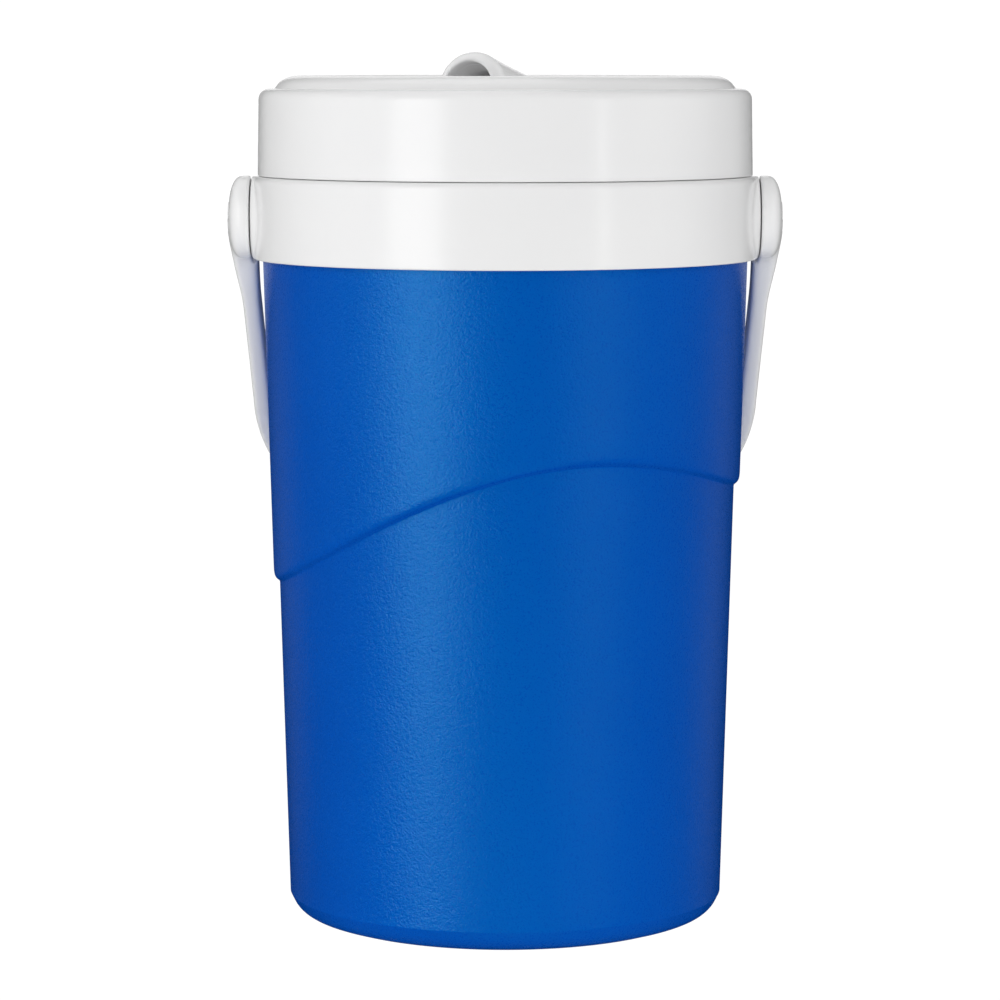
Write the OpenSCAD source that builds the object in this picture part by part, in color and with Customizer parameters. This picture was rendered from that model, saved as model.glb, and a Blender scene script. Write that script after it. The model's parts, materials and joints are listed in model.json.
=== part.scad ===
// Insulated drinks jug with a screw-on pouring lid, about 3.8 litres (one US gallon).
// A foam-filled body with a white collar carries a bail handle and a threaded neck.
// The lid is double-walled and holds a flip-up spout that also works as the valve.
//
// Frame: origin at the centre of the foot ring's resting plane, +Z up, -Y is the front.
// Every outline is drawn as [radius, height] about the jug's own axis.

/* [Body] */
// Height of the body up to the collar's lower edge
body_h = 242; // [200:1:295]
// Outer radius of the body at the collar
body_r = 88.3; // [73:0.1:108]
// Radius lost per millimetre going down the body
body_taper = 0.0284; // [0.015:0.0001:0.04]
// Wall thickness of the outer body
shell_t = 2.2; // [1.8:0.1:2.7]
// Radius of the rounded edge round the base
base_corner = 11; // [9:0.5:13.5]
// Height of the recess inside the foot ring
foot_recess = 3; // [2:0.5:4]
// Width of the flat foot ring
foot_w = 9; // [7:0.5:11]
// Radius of the foam filling hole in the base
fill_r = 6; // [5:0.5:7.5]

/* [Wave step] */
// Height of the step at its low point, on the left side
wave_low = 126; // [100:1:140]
// Height of the step at its crest
wave_high = 175.2; // [165:0.1:200]
// Height of the step on the right side
wave_right = 161.5; // [145:0.1:165]
// Direction of the crest, turned from the front towards the right
wave_crest = 22; // [0:1:45]
// Depth of the step between the upper and the lower body
step_d = 2.1; // [1.7:0.1:2.6]
// Height of the sloping face of the step
step_h = 3.8; // [3:0.1:5]

/* [Collar and neck] */
// Height of the collar band
collar_h = 30; // [28:0.5:36]
// How far the collar stands proud of the body
collar_over = 3.3; // [3:0.1:4.2]
// Thickness of the collar band
collar_t = 2.8; // [2.5:0.1:3]
// Thickness of the collar's top web and of its inner skirt
collar_web = 2.2; // [1.8:0.1:2.7]
// Depth of the body's edge inside the collar
tuck = 6; // [5:0.5:7]
// Distance from the collar's face in to the neck
neck_in = 12.1; // [11:0.1:13]
// Wall thickness of the neck
neck_t = 2.2; // [1.8:0.1:2.7]
// Height of the plain rim above the neck's thread
neck_lip = 1.7; // [1:0.1:4]
// Radius of the flat pads at the pivots
pad_r = 14; // [13:0.5:16]
// How far the pads stand proud of the collar
pad_h = 0.8; // [0.6:0.1:1]

/* [Liner] */
// Wall thickness of the inner vessel
liner_t = 2; // [1.6:0.1:2.4]
// Thickness of the foam beside the vessel's floor
foam_low = 11.58; // [8:0.01:20]
// Height of the vessel's outer floor above the ground
liner_z = 16; // [14:0.5:20]
// Corner radius at the vessel's floor
liner_corner = 12; // [8:0.5:14]

/* [Thread] */
// Height that the lid climbs in one turn
thread_lead = 12; // [10:0.1:15]
// Number of turns of thread on the neck and in the lid
thread_turns = 0.9; // [0.6:0.05:0.95]
// How far a thread stands out from its wall
thread_d = 2; // [1.8:0.1:2.1]
// Height of a thread at its root
thread_w = 3.4; // [3:0.1:4]
// Height of a thread at its crest
thread_tip = 1.4; // [1:0.1:1.6]

/* [Lid] */
// Height of the foam space between the lid's inner web and its dish
lid_gap = 1.7; // [1:0.1:6]
// How far the lid's side stands back from the collar
lid_in = 1.6; // [1.2:0.1:2]
// Wall thickness of the lid's outer shell
lid_t = 2.2; // [1.8:0.1:2.4]
// Radius of the lid's shoulder
shoulder_r = 3.8; // [3:0.1:4.5]
// Width of the flat shoulder outside the crown
shoulder_w = 3.4; // [3:0.1:4]
// Height of the crown ring above the shoulder
crown_h = 4.0; // [3.5:0.1:5]
// Width of the crown ring
crown_w = 9.8; // [9:0.1:11]
// Width of the crown's rounded outer side
crown_side = 9; // [7:0.1:9.4]
// Depth of the plug that closes the mouth, below the gasket
plug_h = 21; // [18:0.5:24]
// Wall thickness of the plug and of the lid's inner skirt
plug_t = 2; // [1.6:0.1:2.4]
// Gap between the plug and the vessel
plug_gap = 1.2; // [1:0.1:1.5]
// Thickness of the lid's gasket
gasket_t = 2.2; // [1.8:0.1:2.4]

/* [Spout] */
// Direction of the spout, turned from the front towards the left
spout_turn = 27; // [15:1:40]
// Distance from the spout's pivot to its mouth
spout_len = 51; // [45:0.5:58]
// Distance of the pivot behind the lid's centre
spout_back = 21; // [18:0.5:25]
// Height of the pivot below the crown's top
spout_drop = 10.7; // [10:0.1:12]
// How far the closed spout tilts upwards, in degrees
spout_tilt = 8.6; // [7:0.1:10]
// Radius of the spout's valve barrel
barrel_r = 10.8; // [8.8:0.1:11.4]
// How much slimmer than the barrel the tube is
tube_step = 0.5; // [0.4:0.1:1]
// Wall thickness of the tube
tube_t = 2.9; // [2:0.1:3.2]
// How far the flared lip stands out from the tube
lip_over = 2.7; // [1.4:0.1:3]
// Thickness of the lip at the mouth
lip_t = 4.4; // [4:0.1:4.8]
// Radius of the hole through the barrel
port_r = 5; // [4:0.1:5.2]
// Radius of the spout's pivot pins
spout_pin_r = 3; // [2.5:0.1:3.5]
// Half the width of the well that the spout lies in
well_r = 14.2; // [13.6:0.1:15.5]

/* [Handle] */
// Height of the pivots above the collar's lower edge
pivot_up = 15; // [14.5:0.5:18]
// Radius of the round hubs
hub_r = 15; // [13:0.5:15.5]
// Thickness of a hub at its crown
hub_t = 8.3; // [7.5:0.1:9.5]
// Gap between a hub and its pad
hub_gap = 0.6; // [0.4:0.1:1]
// Distance from the pivots to the outside of the grip
handle_l = 158; // [150:1:190]
// Corner radius of the bail, outside
handle_corner = 72; // [60:1:78]
// Distance that each arm leans inwards before the corner
arm_lean = 4.2; // [3:0.1:5]
// Thickness of the arms
arm_t = 7.2; // [6:0.1:8]
// Width of the arms
arm_w = 14; // [12:0.5:16]
// Thickness of the grip
grip_t = 11; // [9:0.5:13]
// Width of the grip
grip_w = 17; // [15:0.5:20]
// Gap between the resting grip and the body
grip_gap = 0.6; // [0.5:0.1:2]
// Radius of the handle's pivot pins
pin_r = 4; // [3.5:0.1:4.5]

/* [Fits] */
// Clearance between parts that sit inside each other
seat = 0.15; // [0.1:0.05:0.3]
// Radial clearance of a turning pin in its hole
pin_fit = 0.05; // [0.02:0.01:0.09]
// Gap between the lid's edge and the collar
lid_seam = 0.5; // [0.4:0.1:0.8]
// Clearance between surfaces that slide past each other
slide_gap = 0.3; // [0.25:0.05:0.45]

/* [Hidden] */
$fn = 96;

// overshoot of every cutting solid past the face that it cuts
cut = 1;
// depth by which joined forms sink into each other
weld = 0.1;
// break of a moulded edge, bevel of a small lip and bevel of a free rim
edge = 0.4;
lip_bevel = 0.6;
rim_bevel = 0.8;

// collar and neck levels
collar_r = body_r + collar_over;
collar_top = body_h + collar_h;
collar_edge = 2;
skirt_lift = 1;
groove_r = body_r - shell_t - seat;
neck_r = collar_r - neck_in;
lid_r = collar_r - lid_in;
lid_z = collar_top + lid_seam;

// thread: the lid's ridge starts just above the lid's edge, and the neck's ridge rides on it
thread_steps = 60;
thread_fade = 5;
thread_root = 0.8;
thread_flank = 0.3;
thread_play = 0.6;
female_z = lid_z + thread_w / 2 + thread_play;
male_z = female_z + thread_w + thread_play;
neck_z = male_z + thread_lead * thread_turns + thread_w / 2 + neck_lip;

// lid levels, from the neck upwards
rim_t = liner_t;
gasket_z = neck_z + rim_t;
web_z = gasket_z + gasket_t;
dish_z = web_z + plug_t + lid_gap + lid_t;
dish_drop = 0.4;
shoulder_z = dish_z + dish_drop;
crown_z = shoulder_z + crown_h;
crown_r = lid_r - shoulder_r - shoulder_w;
crown_foot = 0.6;
crown_deep = 5;
crown_from = 12;
crown_in_round = 1.6;
dish_r = crown_r - crown_w;
lid_draft = 0.5;

// body and foam
base_t = 2.5;
shell_top = body_h + tuck;
foam_z = base_t + foot_recess + seat;
foam_top = collar_top - collar_web - seat;
fill_flange = 2.5;
fill_flange_t = 1.2;
fill_in = 2;

// inner vessel and plug
mouth_l = 6;
liner_r = neck_r - neck_t - seat;
liner_r_low = body_r - body_taper * (body_h - liner_z) - step_d - shell_t - foam_low;
liner_taper = (liner_r - liner_r_low) / (collar_top - liner_z);
plug_r = liner_r - liner_t - plug_gap;
plug_z = web_z - plug_h;
plug_corner = 3;
skirt_r = neck_r + thread_d + lip_bevel;
skirt_z = lid_z + 2;
skirt_flange = 2;

// spout: x runs along it from the pivot, y along the pivot
spout_z = crown_z - spout_drop;
tube_r = barrel_r - tube_step;
bore_r = tube_r - tube_t;
lip_r = tube_r + lip_over;
mouth_r = lip_r - lip_t;
lip_round = 2.1;
flare_x = 5;
flare_steps = 8;
flare_pow = 1.5;
funnel_l = 5;
mouth_l_flare = 7;
mouth_round = 2.2;
well_start = -barrel_r - 1.4;
well_end = spout_len * cos(spout_tilt);
well_z = spout_z - barrel_r - 1.5;
barrel_half = well_r - 0.4;
boss_l = 4;
boss_r = spout_pin_r + 2.8;
pin_in = 6;
pin_tip = 0.4;
spout_head_r = spout_pin_r + 1.6;
spout_head_t = 1.4;

// seal between the lid's outlet and the barrel
seal_r = port_r + 2.5;
seal_seat = 0.8;
seal_rise = 0.7;
seal_play = 0.02;
outlet_r = seal_r + 2.4;

// pivots of the handle
pivot_z = body_h + pivot_up;
pad_x = collar_r + pad_h;
pad_skirt = 6;
hub_x = pad_x + hub_gap;
hub_edge = 2.2;
boss_bore = 3.5;
boss_in = collar_r - collar_t - boss_bore;
boss_wall = 3.4;
barb_r = pin_r + 0.8;
barb_l = 3;
chamber_r = barb_r + 0.8;
chamber_l = 5;
chamber_floor = 1.6;
pin_head_r = 5.6;
pin_head_t = 1.6;

// ---------------------------------------------------------------- functions

// outer radius of the upper body at a height
function cone_r(z) = body_r - body_taper * (body_h - z);

// outer radius of the body at the back, below or above the wave step
function back_r(z) = cone_r(z) - (z < wave_z(180) - step_h ? step_d : 0);

// points of an arc in the outline plane, from angle a to angle b
function arc(x, z, r, a, b, n = 6) =
    [for (i = [0:n]) [x + r * cos(a + (b - a) * i / n), z + r * sin(a + (b - a) * i / n)]];

// the same for an ellipse
function oval_arc(x, z, rx, rz, a, b, n = 6) =
    [for (i = [0:n])
        [x + rx * cos(a + (b - a) * i / n), z + rz * sin(a + (b - a) * i / n)]];

// outer radius of the spout's tube at a distance from the pivot
function tube_at(x) =
    tube_r + lip_over * pow(max(0, x - flare_x) / (spout_len - flare_x), flare_pow);

// blend from 0 to 1 with level ends
function ease(t) = (1 - cos(180 * t)) / 2;

// height of the wave step in a direction turned from the front towards the right;
// the back of the jug mirrors the front
function wave_z(phi) =
    let (p = abs(phi) <= 90 ? phi : sign(phi) * 180 - phi)
    p <= wave_crest
        ? wave_low + (wave_high - wave_low) * ease((p + 90) / (wave_crest + 90))
        : wave_high - (wave_high - wave_right) * ease((p - wave_crest) / (90 - wave_crest));

// the grip hangs until it meets the back of the body
grip_c = handle_l - grip_t / 2;
lean = asin(body_r / grip_c);
hang_z = pivot_z - grip_c * cos(lean);
hang_half = sqrt(pow(grip_w / 2 * cos(lean), 2) + pow(grip_t / 2 * sin(lean), 2));
hang = asin((back_r(hang_z + grip_w / 2) + hang_half + grip_gap) / grip_c);

// centreline of the bail in its own plane: [across, along, direction, grip share]
corner_in = handle_corner - grip_t / 2;
arm_top_x = hub_x + hub_t - arm_t / 2;
arm_low_x = arm_top_x - arm_lean;
arm_len = grip_c - corner_in;
function smooth(t) = t * t * (3 - 2 * t);
function arm_point(t) = [arm_top_x - arm_lean * t, arm_len * t, 0, 0];
function corner_point(t) =
    [arm_low_x - corner_in * (1 - cos(90 * t)), arm_len + corner_in * sin(90 * t),
     90 * t, smooth(t)];
arm_steps = 8;
corner_steps = 14;
half_bail = concat(
    [for (i = [0:arm_steps - 1]) arm_point(i / arm_steps)],
    [for (i = [0:corner_steps]) corner_point(i / corner_steps)]
);
bail = concat(
    half_bail,
    [for (i = [len(half_bail) - 1:-1:0])
        let (p = half_bail[i]) [-p[0], p[1], 180 - p[2], p[3]]]
);

// rounded cross-section of the bail: a superellipse between a slab and an oval
bail_sides = 20;
function corner_pow(v, e) = sign(v) * pow(abs(v), e);
function bail_ring(p) =
    let (
        t = arm_t + (grip_t - arm_t) * p[3],
        w = arm_w + (grip_w - arm_w) * p[3],
        e = 0.6 + 0.3 * p[3]
    )
    [for (k = [0:bail_sides - 1])
        let (
            a = 360 * k / bail_sides,
            n = t / 2 * corner_pow(cos(a), e),
            s = w / 2 * corner_pow(sin(a), e)
        )
        [p[0] + n * cos(p[2]), p[1] + n * sin(p[2]), s]];

// ------------------------------------------------------------------ helpers

// ring of stacked cross-sections joined into one closed solid
module sweep(rings) {
    m = len(rings[0]);
    n = len(rings);
    polyhedron(
        points = [for (r = rings) each r],
        faces = concat(
            [for (k = [1:m - 2]) [0, k + 1, k]],
            [for (i = [0:n - 2], k = [0:m - 1]) each [
                [i * m + k, (i + 1) * m + (k + 1) % m, (i + 1) * m + k],
                [i * m + k, i * m + (k + 1) % m, (i + 1) * m + (k + 1) % m]
            ]],
            [for (k = [1:m - 2]) [(n - 1) * m, (n - 1) * m + k, (n - 1) * m + k + 1]]
        )
    );
}

// helical ridge on a wall of radius r; out is 1 on the outside of a wall, -1 inside it
module thread_ridge(r, z, out) {
    steps = round(thread_steps * thread_turns);
    rings = [for (i = [0:steps])
        let (
            a = 360 * i / thread_steps,
            lift = z + thread_lead * i / thread_steps,
            grow = max(weld, min(1, min(i, steps - i) / thread_fade)),
            root = r - out * thread_root,
            tip = r + out * grow * thread_d,
            low = thread_w / 2 + thread_flank,
            high = thread_tip / 2
        )
        [for (q = [[root, -low], [tip, -high], [tip, high], [root, low]])
            [q[0] * cos(a), q[0] * sin(a), lift + q[1]]]];
    if (out > 0) sweep(rings);
    else mirror_faces(rings);
}

// the same sweep with its sections listed the other way round
module mirror_faces(rings) {
    sweep([for (r = rings) [for (k = [len(r) - 1:-1:0]) r[k]]]);
}

// everything below the wave step, out to beyond the body
module below_wave() {
    n = 72;
    reach = 20;
    r_in = body_r - reach;
    r_out = body_r + reach;
    slope = step_h / step_d;
    r_mid = cone_r(wave_z(0)) - step_d / 2;
    function ring(r, flat) =
        [for (k = [0:n - 1])
            let (a = 360 * k / n - 180)
            [r * sin(a), -r * cos(a),
             flat ? 0 : wave_z(a) + max(-step_h, min(step_h, (r - r_mid) * slope))]];
    r_a = r_mid - step_d;
    r_b = r_mid + step_d;
    rings = [ring(r_in, true), ring(r_out, true), ring(r_out, false), ring(r_b, false),
             ring(r_a, false), ring(r_in, false)];
    m = len(rings);
    polyhedron(
        points = [for (r = rings) each r],
        faces = [for (i = [0:m - 1], k = [0:n - 1])
            let (j = (i + 1) % m, q = (k + 1) % n)
            each [[i * n + k, j * n + q, i * n + q], [i * n + k, j * n + k, j * n + q]]]
    );
}

// solid body of revolution with a rounded base; inset shrinks it by a wall
module body_cone(inset, floor_z, corner, top) {
    r = cone_r(floor_z + corner) - inset;
    rotate_extrude() polygon(concat(
        [[0, floor_z]],
        arc(r - corner, floor_z + corner, corner, -90, 0, 8),
        [[cone_r(top) - inset, top], [0, top]]
    ));
}

// body form with the wave step, shrunk by a wall thickness
module wavy_form(inset, floor_z, corner, top) {
    body_cone(inset + step_d, floor_z, corner, top);
    difference() {
        body_cone(inset, floor_z, corner, top);
        translate([0, 0, -cut]) below_wave();
    }
}

// places its children in the spout's frame: x along the spout, y along its pivot
module spout_frame() {
    rotate([0, 0, -90 - spout_turn])
        translate([-spout_back, 0, spout_z])
            children();
}

// turns its children up by the closed spout's tilt
module tilted() {
    rotate([0, -spout_tilt, 0]) children();
}

// round bar along y from y0 to y1
module bar_y(r, y0, y1) {
    translate([0, y1, 0]) rotate([90, 0, 0]) cylinder(r = r, h = y1 - y0);
}

// round bar along x from x0 to x1, at the handle's pivot
module bar_x(r, x0, x1) {
    translate([x0, 0, pivot_z]) rotate([0, 90, 0]) cylinder(r = r, h = x1 - x0);
}

// ---------------------------------------------------------------- body parts

module outer_body() color("#0a5cb0") difference() {
    wavy_form(0, 0, base_corner, shell_top);
    wavy_form(shell_t, base_t + foot_recess, base_corner - shell_t, shell_top + cut);
    // recess that leaves the foot ring
    translate([0, 0, -cut])
        cylinder(r = cone_r(0) - step_d - base_corner - foot_w, h = foot_recess + cut);
    // hole for filling the foam
    translate([0, 0, -cut]) cylinder(r = fill_r, h = 3 * base_t + foot_recess);
    // trims the edge that tucks into the collar
    difference() {
        translate([0, 0, body_h - seat]) cylinder(r = collar_r + cut, h = tuck + 2 * cut);
        translate([0, 0, body_h - cut]) cylinder(r = body_r, h = tuck + 4 * cut);
    }
}

module fill_plug() color("#0a4f99") {
    flange_z = foot_recess - fill_flange_t;
    translate([0, 0, flange_z])
        cylinder(r = fill_r - seat, h = fill_flange_t + base_t + fill_in);
    translate([0, 0, flange_z])
        cylinder(r = fill_r + fill_flange, h = fill_flange_t - seat / 2);
}

module body_foam() color("#e8dfb8") difference() {
    intersection() {
        wavy_form(shell_t + seat, foam_z, base_corner - shell_t - seat, foam_top);
        cylinder(r = groove_r - collar_web - slide_gap, h = foam_top + cut);
    }
    vessel_form(seat);
    // room for the filling plug's shank
    cylinder(r = fill_r + seat, h = foot_recess + base_t + fill_in + slide_gap);
    // clear of the neck's lower edge
    translate([0, 0, foam_top - collar_web - seat])
        cylinder(r = neck_r + seat, h = collar_web + 2 * seat + cut);
    // pockets round the pivot bosses
    for (s = [-1, 1]) scale([s, 1, 1])
        bar_x(chamber_r + boss_wall + seat, liner_r - cut, collar_r);
}

// outside of the inner vessel, grown by a clearance
module vessel_form(grow) {
    r = liner_r_low + liner_taper * liner_corner;
    z0 = liner_z - grow;
    rotate_extrude() polygon(concat(
        [[0, z0]],
        arc(r - liner_corner + grow, z0 + liner_corner, liner_corner, -90, 0, 6),
        [[liner_r + grow, collar_top - mouth_l], [liner_r + grow, neck_z + cut], [0, neck_z + cut]]
    ));
}

module inner_vessel() color("#f2f4f5") {
    r = liner_r_low + liner_taper * liner_corner;
    c = liner_corner - liner_t;
    z0 = liner_z + liner_t;
    rotate_extrude() polygon(concat(
        [[0, liner_z]],
        arc(r - liner_corner, liner_z + liner_corner, liner_corner, -90, 0, 6),
        [[liner_r, collar_top - mouth_l], [liner_r, neck_z], [neck_r, neck_z],
         [neck_r, gasket_z - lip_bevel], [neck_r - lip_bevel, gasket_z],
         [liner_r - liner_t + lip_bevel, gasket_z], [liner_r - liner_t, gasket_z - lip_bevel],
         [liner_r - liner_t, collar_top - mouth_l]],
        arc(r - liner_corner, z0 + c, c, 0, -90, 6),
        [[0, z0]]
    ));
}

// conical raised pad on the collar round one pivot
module pivot_pad() {
    foot_r = pad_r + pad_skirt;
    depth = collar_r - sqrt(pow(collar_r, 2) - pow(foot_r, 2)) + pad_h;
    intersection() {
        translate([pad_x - depth, 0, pivot_z]) rotate([0, 90, 0])
            cylinder(r1 = foot_r, r2 = pad_r, h = depth);
        translate([collar_r - collar_t, -collar_r, body_h])
            cube([collar_r, 2 * collar_r, collar_h - edge]);
    }
}

// blind boss behind a pad, cut to the space between the top web and the body's edge
module pivot_boss() intersection() {
    bar_x(chamber_r + boss_wall, boss_in - chamber_l - chamber_floor, collar_r - collar_t / 2);
    translate([0, 0, shell_top + weld])
        cylinder(r = collar_r, h = collar_top - collar_web - shell_top);
}

module collar() color("#f0f0f0") {
    skirt_in = groove_r - collar_web;
    difference() {
        union() {
            // band, top web, neck and inner skirt in one outline
            rotate_extrude() polygon(concat(
                [[body_r + seat, body_h], [collar_r - edge, body_h], [collar_r, body_h + edge]],
                arc(collar_r - collar_edge, collar_top - collar_edge, collar_edge, 0, 90, 5),
                [[neck_r, collar_top], [neck_r, neck_z - rim_bevel], [neck_r - rim_bevel, neck_z],
                 [neck_r - neck_t, neck_z], [neck_r - neck_t, collar_top - 2 * collar_web],
                 [neck_r, collar_top - 2 * collar_web], [neck_r, collar_top - collar_web],
                 [skirt_in, collar_top - collar_web], [skirt_in, body_h + skirt_lift],
                 [groove_r, body_h + skirt_lift], [groove_r, shell_top + seat],
                 [body_r + seat, shell_top + seat]]
            ));
            for (s = [0, 1]) mirror([s, 0, 0]) {
                pivot_pad();
                pivot_boss();
            }
        }
        for (s = [0, 1]) mirror([s, 0, 0]) {
            bar_x(pin_r + pin_fit, boss_in - cut, pad_x + cut);
            bar_x(chamber_r, boss_in - chamber_l, boss_in);
        }
    }
    thread_ridge(neck_r, male_z, 1);
}

// ------------------------------------------------------------- handle parts

// domed hub of the handle at the +X pivot, before it is hung
module hub() {
    cap = hub_t - hub_edge;
    dome_r = (pow(hub_r, 2) + pow(cap, 2)) / (2 * cap);
    lift = asin(hub_r / dome_r);
    difference() {
        translate([hub_x, 0, 0]) rotate([0, 90, 0]) rotate_extrude() polygon(concat(
            [[0, 0], [hub_r - rim_bevel, 0], [hub_r, rim_bevel]],
            arc(0, hub_t - dome_r, dome_r, 90 - lift, 90, 8)
        ));
        // bore for the pin and seat for its head
        translate([hub_x - cut, 0, 0]) rotate([0, 90, 0]) cylinder(r = pin_r, h = hub_t + 2 * cut);
        translate([hub_x + hub_t - pin_head_t, 0, 0]) rotate([0, 90, 0])
            cylinder(r = pin_head_r, h = pin_head_t + cut);
    }
}

module handle() color("#f0f0f0")
    translate([0, 0, pivot_z]) rotate([hang, 0, 0]) {
        for (s = [0, 1]) mirror([s, 0, 0]) hub();
        difference() {
            // the bail's plane is x and -z here, and its width runs along y
            sweep([for (p = bail) [for (q = bail_ring(p)) [q[0], q[2], -q[1]]]]);
            for (s = [0, 1]) mirror([s, 0, 0])
                translate([hub_x - cut, 0, 0]) rotate([0, 90, 0])
                    cylinder(r = pin_head_r, h = hub_t + 2 * cut);
        }
    }

module handle_pin() {
    head_x = hub_x + hub_t - pin_head_t;
    head_r = pin_head_r - seat;
    translate([0, 0, pivot_z]) rotate([0, 90, 0]) rotate_extrude() polygon([
        [0, boss_in - barb_l], [pin_r - lip_bevel, boss_in - barb_l],
        [barb_r, boss_in - slide_gap - rim_bevel], [barb_r, boss_in - slide_gap],
        [pin_r, boss_in - slide_gap], [pin_r, head_x], [head_r, head_x],
        [head_r, head_x + pin_head_t - lip_bevel], [head_r - lip_bevel, head_x + pin_head_t],
        [0, head_x + pin_head_t]
    ]);
}
module handle_pin_right() color("#e9e9e9") handle_pin();
module handle_pin_left() color("#e9e9e9") mirror([1, 0, 0]) handle_pin();

// ---------------------------------------------------------------- lid parts

// plan of the well that the spout lies in, grown by a wall, between two heights
module well_plan(grow, z0, z1) {
    half = well_r + grow;
    translate([well_start - grow, -half, z0 - spout_z])
        cube([well_end - well_start + grow, 2 * half, z1 - z0]);
    translate([well_end, 0, z0 - spout_z]) cylinder(r = half, h = z1 - z0);
}

// outline of the lid's shell, from the skirt over the crown to the dish
module lid_outline() {
    top_r = lid_r - lid_draft;
    crown_c = crown_r + crown_foot - crown_side * cos(crown_from);
    crown_b = crown_z - crown_deep;
    rotate_extrude() polygon(concat(
        [[lid_r - edge, lid_z], [lid_r, lid_z + edge]],
        arc(top_r - shoulder_r, shoulder_z - shoulder_r, shoulder_r, 0, 90, 6),
        [[crown_r + crown_foot, shoulder_z]],
        oval_arc(crown_c, crown_b, crown_side, crown_deep, crown_from, 90),
        arc(dish_r + crown_in_round, crown_z - crown_in_round, crown_in_round, 90, 180, 4),
        [[dish_r, dish_z + rim_bevel], [dish_r - rim_bevel, dish_z], [0, dish_z],
         [0, dish_z - lid_t], [dish_r, dish_z - lid_t], [dish_r + lid_t, dish_z],
         [dish_r + lid_t, crown_z - lid_t - edge]],
        oval_arc(crown_c, crown_b, crown_side - lid_t, crown_deep - lid_t, 75, crown_from),
        [[crown_c + crown_side - lid_t, shoulder_z - lid_t],
         [top_r - shoulder_r, shoulder_z - lid_t], [top_r - lid_t, shoulder_z - shoulder_r - edge],
         [lid_r - lid_t, lid_z]]
    ));
}

module lid_shell() color("#f0f0f0") difference() {
    boss_end = well_r + boss_l;
    union() {
        difference() {
            lid_outline();
            spout_frame() well_plan(0, well_z, crown_z + cut);
        }
        // walls and floor of the well, with the bosses of the spout's pins
        difference() {
            union() {
                spout_frame() well_plan(lid_t, well_z - lid_t, dish_z - weld);
                spout_frame() bar_y(boss_r, -boss_end, boss_end);
            }
            spout_frame() well_plan(0, well_z, crown_z + cut);
        }
        // outlet that leads down through the foam
        spout_frame() translate([0, 0, plug_z - spout_z])
            cylinder(r = outlet_r, h = well_z - plug_z - weld);
    }
    spout_frame() {
        // outlet bore and the seat of the seal
        translate([0, 0, plug_z - spout_z - cut]) cylinder(r = port_r, h = well_z);
        translate([0, 0, well_z - spout_z - seal_seat]) cylinder(r = seal_r, h = seal_seat + cut);
        // holes for the pivot pins
        bar_y(spout_pin_r, -boss_end - cut, boss_end + cut);
    }
}

// inner part of the lid: plug, top web and threaded skirt
module lid_inner() color("#eceeef") {
    flange_r = lid_r - lid_t - seat;
    skirt_out = skirt_r + plug_t;
    c = plug_corner - plug_t;
    difference() {
        rotate_extrude() polygon(concat(
            [[0, plug_z]],
            arc(plug_r - plug_corner, plug_z + plug_corner, plug_corner, -90, 0, 4),
            [[plug_r, web_z], [skirt_r, web_z], [skirt_r, skirt_z], [flange_r, skirt_z],
             [flange_r, skirt_z + skirt_flange], [skirt_out, skirt_z + skirt_flange],
             [skirt_out, web_z + plug_t], [plug_r - plug_t, web_z + plug_t]],
            arc(plug_r - plug_corner, plug_z + plug_corner, c, 0, -90, 2),
            [[0, plug_z + plug_t]]
        ));
        // hole for the spout's outlet
        spout_frame() translate([0, 0, plug_z - spout_z - cut])
            cylinder(r = outlet_r + seat, h = plug_t + 2 * cut);
    }
    thread_ridge(skirt_r, female_z, -1);
}

module lid_foam() color("#e8dfb8") difference() {
    top = dish_z - lid_t - seat;
    low = plug_z + plug_t + seat;
    in_r = plug_r - plug_t - seat;
    out_r = lid_r - lid_t - lid_draft - seat;
    skirt_out = skirt_r + plug_t + seat;
    rotate_extrude() polygon([
        [0, low], [in_r - cut, low], [in_r, low + cut], [in_r, web_z + plug_t + seat],
        [skirt_out, web_z + plug_t + seat], [skirt_out, skirt_z + skirt_flange + seat],
        [out_r, skirt_z + skirt_flange + seat], [out_r, shoulder_z - shoulder_r - lid_t],
        [out_r - shoulder_r, top], [0, top]
    ]);
    spout_frame() {
        well_plan(lid_t + seat, well_z - lid_t - seat, crown_z);
        bar_y(boss_r + seat, -well_r - 2 * boss_l, well_r + 2 * boss_l);
        translate([0, 0, plug_z - spout_z - cut]) cylinder(r = outlet_r + seat, h = well_z);
    }
}

module lid_gasket() color("#8f979c") rotate_extrude() {
    in_r = liner_r - liner_t + edge;
    out_r = neck_r - edge;
    bulge = slide_gap;
    middle = gasket_z + gasket_t / 2;
    polygon([
        [in_r, gasket_z], [out_r, gasket_z], [out_r + bulge, middle],
        [out_r, web_z], [in_r, web_z], [in_r - bulge, middle]
    ]);
}

// -------------------------------------------------------------- spout parts

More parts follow.
